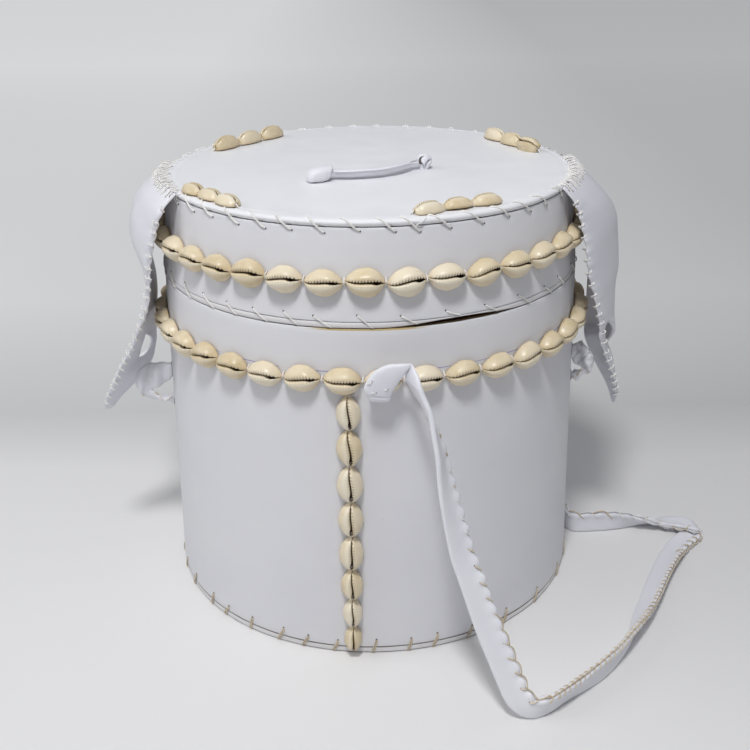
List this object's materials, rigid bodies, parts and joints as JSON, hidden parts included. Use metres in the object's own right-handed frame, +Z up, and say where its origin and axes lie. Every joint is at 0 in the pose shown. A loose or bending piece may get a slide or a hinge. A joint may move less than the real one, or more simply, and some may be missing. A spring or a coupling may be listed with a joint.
{
  "type": "lidded divination container",
  "caption": "Round leather-covered box with a lift-off lid, strings of cowrie shells, a lid handle, two side flaps with toggles and a carrying strap.",
  "frame": {"origin": "centre of the base, on the surface that the box stands on", "axes": "+Z up along the box's axis, -Y towards the front with the row of shells, +X to the right seen from the front"},
  "size_m": [0.4045, 0.3513, 0.274],
  "materials": {
    "white_leather": "smooth white, slightly glossy",
    "board": "raw board",
    "lining_cloth": "matt woven",
    "collar_leather": "matt brown",
    "cowrie_shell": "glossy enamel"
  },
  "bodies": {
    "container": {"base_cover": "white_leather", "base_board": "board", "base_lining": "lining_cloth", "body_wall_core": "board", "body_wall_cover": "white_leather", "body_lining": "lining_cloth", "inner_collar": "collar_leather", "body_cowrie_string": "cowrie_shell", "front_cowrie_1": "cowrie_shell", "front_cowrie_2": "cowrie_shell", "front_cowrie_3": "cowrie_shell", "front_cowrie_4": "cowrie_shell", "front_cowrie_5": "cowrie_shell", "front_cowrie_6": "cowrie_shell", "front_cowrie_7": "cowrie_shell", "front_cowrie_8": "cowrie_shell", "strap_front_knot": "white_leather", "strap_rear_knot": "white_leather", "carrying_strap": "white_leather", "left_toggle": "white_leather", "right_toggle": "white_leather"},
    "lid": {"lid_top_cover": "white_leather", "lid_top_board": "board", "lid_top_lining": "lining_cloth", "lid_wall_core": "board", "lid_wall_cover": "white_leather", "lid_wall_lining": "lining_cloth", "lid_rim_binding": "white_leather", "lid_cowrie_string": "cowrie_shell", "lid_cowrie_1": "cowrie_shell", "lid_cowrie_2": "cowrie_shell", "lid_cowrie_3": "cowrie_shell", "lid_cowrie_4": "cowrie_shell", "lid_cowrie_5": "cowrie_shell", "lid_cowrie_6": "cowrie_shell", "lid_cowrie_7": "cowrie_shell", "lid_cowrie_8": "cowrie_shell", "lid_cowrie_9": "cowrie_shell", "lid_cowrie_10": "cowrie_shell", "lid_cowrie_11": "cowrie_shell", "lid_cowrie_12": "cowrie_shell", "handle_left_wrap": "white_leather", "handle_right_knot": "white_leather"},
    "lid_handle": {"handle_strip": "white_leather"},
    "left_flap": {"left_flap": "white_leather"},
    "right_flap": {"right_flap": "white_leather"}
  },
  "joints": [
    {"name": "lid_lift", "type": "slide", "parent": "container", "child": "lid", "axis": [0, 0, 1], "range_m": [0, 0.15]},
    {"name": "handle_swing", "type": "hinge", "parent": "lid", "child": "lid_handle", "pos_m": [-0.022, -0.038, 0.2678], "axis": [-0.9069, -0.4214, 0], "range_deg": [0, 170]},
    {"name": "left_flap_swing", "type": "hinge", "parent": "lid", "child": "left_flap", "pos_m": [-0.12432, -0.02643, 0.263], "axis": [-0.2079, 0.9781, 0], "range_deg": [0, 100]},
    {"name": "right_flap_swing", "type": "hinge", "parent": "lid", "child": "right_flap", "pos_m": [0.12432, -0.02643, 0.263], "axis": [-0.2079, -0.9781, 0], "range_deg": [0, 100]}
  ]
}
